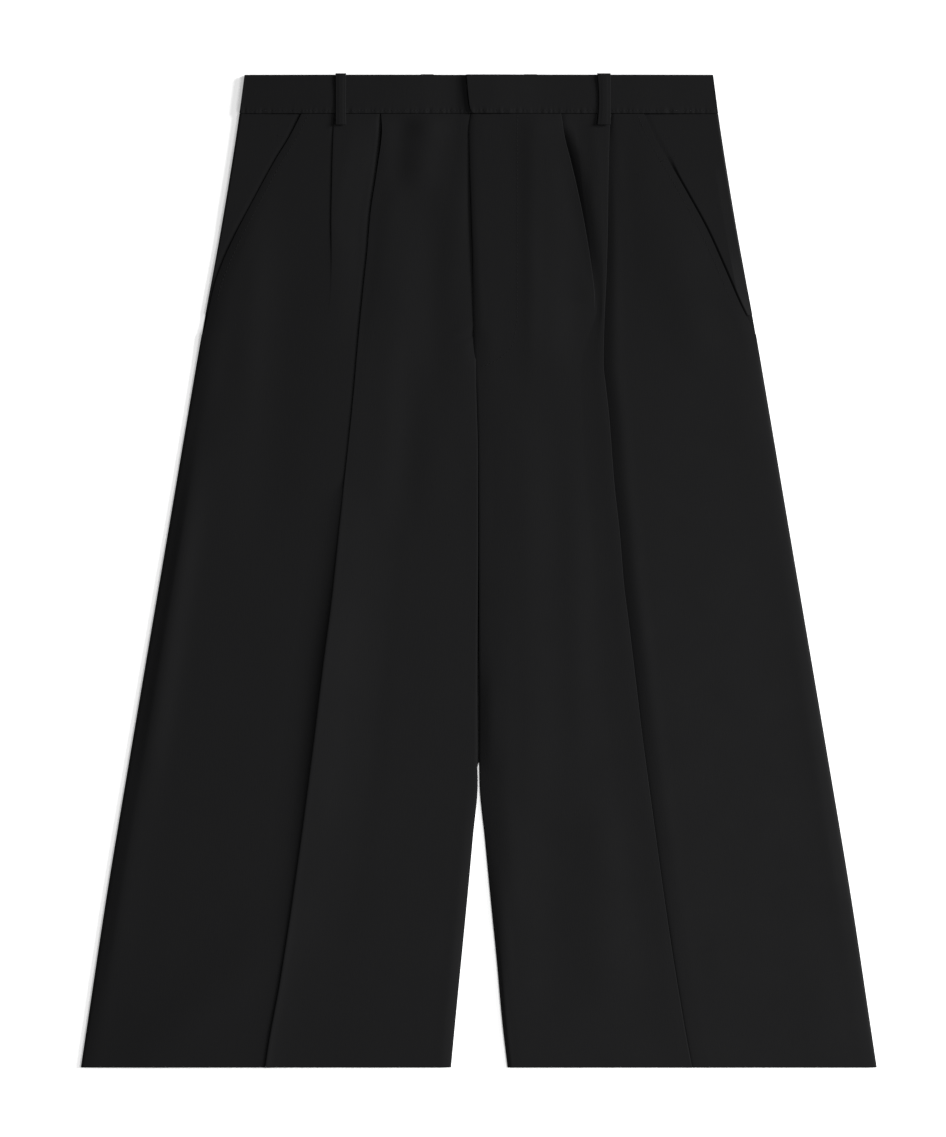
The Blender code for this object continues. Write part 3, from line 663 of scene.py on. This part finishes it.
def softHeight(x, down):
    # how far the soft folds and the cloth's unevenness move a front up or down
    height = np.zeros(x.shape)
    for start, end, width, lift in softFolds:
        along = np.array(end, float) - start
        length = np.hypot(*along)
        part = ((x - start[0]) * along[0] + (down - start[1]) * along[1]) / length**2
        off = ((x - start[0]) * along[1] - (down - start[1]) * along[0]) / length
        ends = np.clip(np.minimum(part + softEnd, 1 + softEnd - part) / (2 * softEnd), 0, 1)
        ends = ends * ends * (3 - 2 * ends)
        height += lift * np.exp(-((off / width) ** 2)) * ends
    uneven = [
        sum(
            wave["lift"] * noise.noise((a / wave["size"], b / wave["size"], wave["draw"]))
            for wave in unevenness
        )
        for a, b in zip(x.ravel(), down.ravel())
    ]
    return height + np.array(uneven).reshape(x.shape)


def settle(piece, slot, *nodes):
    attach(piece, "root")
    if nodes:
        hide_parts(*nodes)
    return piece


def clothGrid(node, sign, rows, out, height, wall, edge, grain=None):
    # the sheet of cloth that stands for a node, through rows of points that run out from the centre
    # towards the side of that sign, with a wall and rounded edges
    x, height = sign * np.array(out), np.array(height)
    grain = x if grain is None else sign * grain
    if sign < 0:
        x, height, grain = (grid[:, ::-1] for grid in (x, height, grain))
    steps = [count - 1 for count in x.shape]
    build = bmesh.new()
    bmesh.ops.create_grid(build, x_segments=steps[1], y_segments=steps[0], size=1)
    weave = build.loops.layers.uv.new("grain")
    spot = {}
    for vert in build.verts:
        row, column = round((1 - vert.co.y) / 2 * steps[0]), round((1 + vert.co.x) / 2 * steps[1])
        spot[vert] = row, column
        place = x[row, column], shorts["middle"] - rows[row], height[row, column]
        vert.co = [size * mm for size in place]
    for face in build.faces:
        for corner in face.loops:
            row, column = spot[corner.vert]
            corner[weave].uv = grain[row, column] * mm, -rows[row] * mm
    piece = addPiece(node + "_cloth", build, [clothFinish])
    solid = piece.modifiers.new("wall", "SOLIDIFY")
    solid.thickness = wall * mm
    solid.offset = 0
    solid.use_even_offset = True
    bevel = piece.modifiers.new("edge", "BEVEL")
    bevel.width = edge * mm
    bevel.segments = 2
    bevel.limit_method = "ANGLE"
    bevel.angle_limit = math.radians(55)
    return settle(piece, "cloth", node)


def rowsOfFront():
    spots = []
    for start, pitch, count in frontSteps["rows"]:
        spots += [start + pitch * i for i in range(count)]
    return spots + [shorts["length"]]


def makeFront(side):
    rows = rowsOfFront()
    grid = np.array([smoothLine(frontSection(side, down), frontSteps["fine"]) for down in rows])
    out, height = grid[..., 0], grid[..., 1]
    down = np.repeat(np.array(rows)[:, None], out.shape[1], axis=1)
    fromEdge = np.minimum(out - out[:, :1], out[:, -1:] - out)
    free = np.clip((fromEdge - freeCloth["fromEdge"]) / freeCloth["over"], 0, 1)
    free = free * np.clip((down - freeCloth["fromWaist"]) / freeCloth["overDown"], 0, 1)
    height = height + softHeight(side["sign"] * out, down) * free
    steps = np.hypot(np.diff(out, axis=1), np.diff(height, axis=1))
    grain = np.concatenate([np.zeros((len(rows), 1)), np.cumsum(steps, axis=1)], axis=1)
    crease = sum(frontSteps["fine"][:side["pressedSpan"]])
    grain = grain - grain[:, crease:crease + 1]
    node = "front_" + side["name"]
    return clothGrid(node, side["sign"], rows, out, height, shorts["clothWall"], shorts["edge"], grain)


fronts = {side["name"]: makeFront(side) for side in bothSides}
print("fronts made")

# the backs and the pocket facings
backs = {"columns": 64, "rows": 200, "wall": 0.8, "seamEnd": 533}


def makeBack(side):
    rows = np.linspace(shorts["bandDepth"], shorts["length"], backs["rows"] + 1)
    out, height = [], []
    for down in rows:
        inner = 0 if down < backs["seamEnd"] else max(0, read(side["inner"], "edge", down))
        out.append(np.linspace(inner, sideEdge(down), backs["columns"] + 1))
        height.append([backHeight(spot, down) for spot in out[-1]])
    node = "back_" + side["name"]
    return clothGrid(node, side["sign"], rows, out, height, backs["wall"], shorts["edge"])


# "mouth" is how far a facing rises to its pocket's mouth and "swell" how much further past it. Lower
# down, the mouth of the left pocket stands open.
facingCloth = {
    "columns": 110, "rows": 100, "edge": 0.2, "roll": 9.0, "edgeRise": 0.9, "rise": 12.0,
    "down": (30, 125, 165, 190), "shoulder": (2.8, 2.7, 1.1, 0.9),
    "closed": {"mouth": 2.0, "swell": 0.2, "gap": 0.0, "width": 5.0, "fall": 0.5},
    "open": {"mouth": 1.7, "swell": 1.6, "gap": 0.3, "width": 1.7, "fall": 0.85},
    "openFrom": {"right": 1000, "left": 58.0}, "openOver": 24.0,
    "sunk": 0.45, "sunkFrom": 95.0, "sunkOver": 50.0, "swellWidth": 8.0,
}


def facingProfile(side, down):
    # a facing's heights across a row, from under the front out to the side
    pocket, end = read(side["outer"], "pocket", down), sideEdge(down)
    opened = ease((down - facingCloth["openFrom"][side["name"]]) / facingCloth["openOver"])
    closedOne, openOne = facingCloth["closed"], facingCloth["open"]
    mouth, swell, gap, width, fallOver = (
        closedOne[name] + opened * (openOne[name] - closedOne[name]) for name in closedOne
    )
    sunk = facingCloth["sunk"] * ease((down - facingCloth["sunkFrom"]) / facingCloth["sunkOver"])
    mouth *= 1 - (1 - opened) * sunk
    shown = max(end - pocket, 0.1)
    swell *= min(shown / facingCloth["swellWidth"], 1)
    outs = np.linspace(pocket - facing["under"], end, facingCloth["columns"] + 1)
    heights = []
    for out in outs:
        rise = mouth * ease((out - pocket + facingCloth["rise"]) / facingCloth["rise"])
        rise += swell * ease((out - pocket - gap) / width)
        part = (end - out) / min(facingCloth["roll"], shown * fallOver)
        fall = (1 - opened) * roll(part) + opened * min(part, 1)
        shoulder = min(read(facingCloth, "shoulder", down), rise)
        rise = shoulder + (rise - shoulder) * fall
        rim = (shoulder - facingCloth["edgeRise"]) * rimAt(end - out)
        heights.append(facingHeight(down) + rise - rim)
    return outs, heights


def makeFacing(side):
    rows = np.linspace(facing["top"], facing["foot"], facingCloth["rows"] + 1)
    out, height = zip(*(facingProfile(side, down) for down in rows))
    node = "pocket_facing_" + side["name"]
    return clothGrid(node, side["sign"], rows, out, height, shorts["clothWall"], facingCloth["edge"])


backPieces = {side["name"]: makeBack(side) for side in bothSides}
facings = {side["name"]: makeFacing(side) for side in bothSides}
print("backs and facings made")

# the waistband: a front half on each side and the whole back
band = {
    "columns": 260, "edge": 0.3, "end": 29.75,
    "down": (0, 0.8, 1.8, 3.5, 6, 9, 12, 15, 18, 21, 23.5, 25.3, 26.5, 27.4, 28.2, 28.9, 29.4, 29.75),
    "dip": (0.1, 0.05, 0.02, 0, 0, 0, 0, 0, 0, 0, 0, 0, 0.04, 0.02, 0.0, 0.08, 0.2, 0.3),
    "corner": 1.6, "cornerIn": 0.96, "backRows": 10,
    "puckerFrom": 24.5, "puckerOver": 3.5,
    "pucker": {"lift": 0.3, "across": 2.3, "along": 9.0, "draw": 5.5},
    "wave": {"lift": 0.16, "across": 38.0, "along": 30.0, "draw": 1.2},
}


def bandWave(x, down):
    pucker, wave = (
        noise.noise((x / each["across"], down / each["along"], each["draw"])) * each["lift"]
        for each in (band["pucker"], band["wave"])
    )
    return pucker * ease((down - band["puckerFrom"]) / band["puckerOver"]) + wave


def makeFrontBand(side):
    out, height = [], []
    for down, dip in zip(band["down"], band["dip"]):
        past = max(down - (band["end"] - band["corner"]), 0) / band["corner"]
        start = read(side["bandEnd"], "out", down)
        if side["lapsOver"]:
            start += band["cornerIn"] * (1 - math.sqrt(max(1 - past * past, 0)))
        out.append(np.linspace(start, sideEdge(down), band["columns"] + 1))
        height.append([
            read(side["band"], "height", spot, "out") - dip + bandWave(side["sign"] * spot, down)
            for spot in out[-1]
        ])
    # the band's grain runs across the garment
    node = "waistband_front_" + side["name"]
    return clothGrid(node, side["sign"], band["down"], out, height, shorts["bandWall"], band["edge"])


def makeBackBand():
    rows = np.linspace(0, shorts["bandDepth"], band["backRows"] + 1)
    out = [np.linspace(-sideEdge(down), sideEdge(down), 2 * band["columns"] + 1) for down in rows]
    height = [[shorts["bandWall"] / 2 + backLoopLift(spot) for spot in spots] for spots in out]
    return clothGrid("waistband_back", 1, rows, out, height, shorts["bandWall"], band["edge"])


frontBands = {side["name"]: makeFrontBand(side) for side in bothSides}
backBand = makeBackBand()
print("waistband made")

# belt loops
loop = {
    "wall": 0.9, "bottom": 38.9, "wrap": 1.6, "bend": 0.6, "off": 0.42, "over": 0.1, "columns": 12,
    "crown": 0.25, "groove": 0.16, "grooveAt": 0.66, "grooveWidth": 0.14,
    "end": 2.2, "endLift": 0.45, "edge": 0.22,
    "pinch": {"right": 0.25, "left": 1.3},
    "along": (-3, 1, 5),  # where its line is set over the band's lower edge and the front
    "frontFrom": 29.6, "flat": 14.0, "sink": 0.5, "fine": (2, 4, 8, 8, 4, 4, 4, 4),
}


def makeFrontLoop(side):
    middle, width = side["loop"]["out"], side["loop"]["width"]
    half = (shorts["bandWall"] + loop["wall"]) / 2
    top = read(side["band"], "height", middle, "out") + half + loop["off"]
    edge = -loop["over"] - loop["wall"] / 2
    path = [
        (edge, top - loop["wrap"]), (edge, top - loop["bend"]), (edge + loop["bend"], top),
        (loop["flat"], top),
    ]
    for past in loop["along"]:
        down = shorts["bandDepth"] + past
        section = frontSection(side, max(down, loop["frontFrom"]))
        near = [height for out, height in section if abs(out - middle) < width]
        path.append((down, max(top, max(near) + half - loop["sink"] + loop["off"])))
    path.append((loop["bottom"] - loop["end"], path[-1][1]))
    path.append((loop["bottom"], path[-1][1] + loop["endLift"]))
    line = smoothLine(path, loop["fine"])
    across = np.linspace(-1, 1, loop["columns"] + 1)
    crown = -loop["crown"] * across**4
    crown = crown - loop["groove"] * np.exp(
        -(((abs(across) - loop["grooveAt"]) / loop["grooveWidth"]) ** 2)
    )
    out, height = [], []
    for down, level in line:
        # its inner side is pinched in between the two ends
        waist = 1 - (2 * min(max(down, 0), loop["bottom"]) / loop["bottom"] - 1) ** 2
        inner = middle - width / 2 + loop["pinch"][side["name"]] * waist
        out.append(np.interp(across, (-1, 1), (inner, middle + width / 2)))
        height.append(level + crown)
    node = "belt_loop_front_" + side["name"]
    return clothGrid(node, side["sign"], line[:, 0], out, height, loop["wall"], loop["edge"])


def makeBackLoop(side):
    edge = -backLoop["off"] - backLoop["wall"] / 2
    low = backLoop["wall"] / 2
    path = [(edge, low + loop["wrap"]), (edge, low + loop["bend"]), (edge + loop["bend"], low)]
    path += [(down, low) for down in backLoop["along"]]
    line = smoothLine(path, backLoop["fine"])[::-1]
    across = np.linspace(-1, 1, loop["columns"] + 1)
    spots = side["sign"] * backLoop["out"] + across * backLoop["width"] / 2
    # it lies under the back, so its rows run from its foot up and round the waist's edge
    x = np.repeat(spots[None, ::-1], len(line), axis=0)
    height = np.repeat(np.maximum(line[:, 1:], low), len(spots), axis=1)
    node = "belt_loop_back_" + side["name"]
    return clothGrid(node, 1, line[:, 0], x, height, backLoop["wall"], backLoop["edge"])


frontLoops = {side["name"]: makeFrontLoop(side) for side in bothSides}
backLoops = {side["name"]: makeBackLoop(side) for side in bothSides}
print("belt loops made")

# the closed zip under the fly's lap
zipper = {
    "top": 44.0, "bottom": 184.0, "middle": 10.8, "low": 3.04,
    "tape": (10.05, 0.7), "tapeEdge": 0.12, "tapeGap": 0.3,
    "pitch": 1.5, "first": 0.8, "tooth": (2.6, 0.85, 0.7), "toothEdge": 0.15, "toothUp": 0.925,
    "lean": 0.45,
    "tapeColour": (0.012, 0.012, 0.013, 1), "tapeRoughness": 0.8, "weavePitch": 0.9,
    "weaveBump": 0.5, "weaveDepth": 0.1,
    "metalColour": (0.2, 0.2, 0.21, 1), "metalRoughness": (0.3, 0.5), "wear": 900, "wearDetail": 4,
}
# The slider's boxes: the centre, from the slider's own middle and the tapes' underside, the size and
# the bevel.
slider = {"aboveTop": 4.8, "boxes": (
    ((0, 0, 0.22), (7.0, 9.0, 0.44), 0.15),  # the two plates
    ((0, 0, 1.05), (7.0, 9.0, 0.44), 0.15),
    ((0, 2.52, 0.65), (1.6, 3.0, 0.7), 0.1),  # the post between them
    ((-3.2, -1.0, 0.65), (0.5, 6.0, 0.7), 0.1),  # the sides
    ((3.2, -1.0, 0.65), (0.5, 6.0, 0.7), 0.1),
    ((-0.9, -0.5, 1.4), (0.5, 4.2, 0.35), 0.12),  # what holds the pull
    ((0.9, -0.5, 1.4), (0.5, 4.2, 0.35), 0.12),
    ((0, -5.2, 1.52), (3.6, 9.0, 0.35), 0.14),  # the pull
)}


def makeTapeFinish():
    tape = bpy.data.materials.new("zipTape")
    n = addNodes(tape, place="TexCoord", stretch="Mapping", weave="TexWave", bump="Bump")
    n["stretch"].inputs["Scale"].default_value = (1, 1, 0)
    n["weave"].bands_direction = "DIAGONAL"
    n["weave"].inputs["Scale"].default_value = waveCycle / (zipper["weavePitch"] * mm)
    n["weave"].inputs["Distortion"].default_value = 1
    n["bump"].inputs["Strength"].default_value = zipper["weaveBump"]
    n["bump"].inputs["Distance"].default_value = zipper["weaveDepth"] * mm
    n["shader"].inputs["Base Color"].default_value = zipper["tapeColour"]
    n["shader"].inputs["Roughness"].default_value = zipper["tapeRoughness"]
    join(
        tape, n,
        ("place", "Object", "stretch", "Vector"), ("stretch", "Vector", "weave", "Vector"),
        ("weave", "Fac", "bump", "Height"), ("bump", "Normal", "shader", "Normal"),
    )
    return tape


def makeDarkMetal():
    metal = bpy.data.materials.new("darkMetal")
    n = addNodes(metal, place="TexCoord", wear="TexNoise", rough="MapRange")
    n["wear"].inputs["Scale"].default_value = zipper["wear"]
    n["wear"].inputs["Detail"].default_value = zipper["wearDetail"]
    n["rough"].inputs["To Min"].default_value = zipper["metalRoughness"][0]
    n["rough"].inputs["To Max"].default_value = zipper["metalRoughness"][1]
    n["shader"].inputs["Base Color"].default_value = zipper["metalColour"]
    n["shader"].inputs["Metallic"].default_value = 1
    join(
        metal, n,
        ("place", "Object", "wear", "Vector"), ("wear", "Fac", "rough", "Value"),
        ("rough", "Result", "shader", "Roughness"),
    )
    return metal


def addBox(build, centre, size, bevel):
    made = bmesh.ops.create_cube(build, size=1)["verts"]
    bmesh.ops.scale(build, verts=made, vec=Vector(size) * mm)
    bmesh.ops.translate(build, verts=made, vec=Vector(centre) * mm)
    edges = list({edge for vert in made for edge in vert.link_edges})
    bmesh.ops.bevel(build, geom=edges, offset=bevel * mm, segments=2, affect="EDGES", profile=0.5,
                    material=-1)


def makeZip():
    top = shorts["middle"] - zipper["top"]
    length = zipper["bottom"] - zipper["top"]
    wide, thick = zipper["tape"]
    build = bmesh.new()
    for side in (-1, 1):
        x = zipper["middle"] + side * (wide + zipper["tapeGap"]) / 2
        centre = (x, top - length / 2, zipper["low"] + thick / 2)
        addBox(build, centre, (wide, length, thick), zipper["tapeEdge"])
    tapes = set(build.faces)
    for i in range(int(length / zipper["pitch"])):
        x = zipper["middle"] + (zipper["lean"] if i % 2 else -zipper["lean"])
        y = top - zipper["first"] - i * zipper["pitch"]
        addBox(build, (x, y, zipper["low"] + zipper["toothUp"]), zipper["tooth"], zipper["toothEdge"])
    for face in set(build.faces) - tapes:
        face.material_index = 1
    piece = addPiece("zip_tapes_and_teeth", build, [makeTapeFinish(), darkMetal])
    return settle(piece, "zip", "fly_zip")


def makeSlider():
    middle = (
        zipper["middle"], shorts["middle"] - zipper["top"] + slider["aboveTop"], zipper["low"]
    )
    build = bmesh.new()
    for centre, size, bevel in slider["boxes"]:
        addBox(build, [a + b for a, b in zip(middle, centre)], size, bevel)
    piece = addPiece("zip_slider_metal", build, [darkMetal])
    return settle(piece, "slider", "zip_slider")


darkMetal = makeDarkMetal()
makeZip()
makeSlider()
print("zip made")

# stitches, laid on the finished cloth
stitch = {
    "length": 2.5, "gap": 0.7, "width": 0.36, "tall": 0.3, "up": 0.02,
    "pocket": {"inside": 5.2, "from": 32, "to": 176, "points": 40},
    "band": {"down": 27.6, "size": 0.8, "clear": 1.0, "side": 184.0},
    # the line that shapes the fly, as (x, down)
    "fly": (
        (29.7, 31), (29.7, 189.7), (28.6, 195), (27.8, 203), (25.4, 211.5), (16.5, 219.2),
        (13.8, 221.2), (4.5, 225.4), (0.9, 225.6),
    ),
}
graph = bpy.context.evaluated_depsgraph_get()


def pocketLine(side):
    # a line inside the pocket's mouth, as (x, down)
    row, line = stitch["pocket"], []
    for down in np.linspace(row["from"], row["to"], row["points"]):
        before, at, after = (read(side["outer"], "pocket", down + step) for step in (-0.5, 0, 0.5))
        aslant = math.hypot(1, after - before)
        line.append((side["sign"] * (at - row["inside"] * aslant), down))
    return line


def spaced(line, pitch):
    line = np.array(line, float)
    along = np.concatenate([[0], np.cumsum(np.hypot(*np.diff(line, axis=0).T))])
    count = max(int(along[-1] / pitch), 1)
    at = np.linspace(0, along[-1], count + 1)
    return np.stack([np.interp(at, along, line[:, i]) for i in range(2)], axis=1)


def onCloth(trees, x, down):
    # the top of the cloth below a place, and the way it faces
    start = Vector((x * mm, (shorts["middle"] - down) * mm, 0.05))
    hits = [tree.ray_cast(start, Vector((0, 0, -1))) for tree in trees]
    hits = [hit for hit in hits if hit[0] is not None]
    return max(hits, key=lambda hit: hit[0].z)[:2]


def sewLines(name, cloths, lines, size=1.0):
    trees = [BVHTree.FromObject(cloth, graph) for cloth in cloths]
    build = bmesh.new()
    pitch = (stitch["length"] + stitch["gap"]) * size
    for line in lines:
        spots = spaced(line, pitch)
        for start, end in zip(spots, spots[1:]):
            end = start + (end - start) * stitch["length"] / (stitch["length"] + stitch["gap"])
            a, upA = onCloth(trees, *start)
            b, upB = onCloth(trees, *end)
            along = b - a
            up = (upA + upB).normalized()
            across = up.cross(along).normalized()
            up = along.cross(across).normalized()
            axes = Matrix((along, across * stitch["width"] * mm, up * stitch["tall"] * mm))
            shape = axes.transposed().to_4x4()
            shape.translation = (a + b) / 2 + up * stitch["up"] * mm
            bmesh.ops.create_icosphere(build, subdivisions=1, radius=0.5, matrix=shape)
    piece = addPiece(name, build, [threadFinish])
    return settle(piece, "cloth")


def tackLines(start, end, wide, rows):
    # a bar tack: close stitches side by side across a short bar
    start, end = np.array(start, float), np.array(end, float)
    along = (end - start) / np.hypot(*(end - start))
    across = np.array((-along[1], along[0])) * wide / 2
    spots = [start + (end - start) * i / rows for i in range(rows + 1)]
    return [(spot - across, spot + across) for spot in spots]


def sewFront(side):
    cloth = [fronts[side["name"]], facings[side["name"]]]
    lines = [pocketLine(side)] + tackLines(*side["tack"])
    if side["lapsOver"]:
        lines.append(stitch["fly"])
    return sewLines("stitches_front_" + side["name"], cloth, lines)


def sewBand(side):
    # along the band's lower edge, on each side of the belt loop
    row, middle = stitch["band"], side["loop"]["out"]
    clear = side["loop"]["width"] / 2 + row["clear"]
    lines = [
        [(side["sign"] * out, row["down"]) for out in ends]
        for ends in ((middle - clear, side["bandStitchEnd"]), (middle + clear, row["side"]))
    ]
    name = "stitches_waistband_" + side["name"]
    return sewLines(name, [frontBands[side["name"]]], lines, row["size"])


stitches = {side["name"]: sewFront(side) for side in bothSides}
bandStitches = {side["name"]: sewBand(side) for side in bothSides}
print("stitches made")
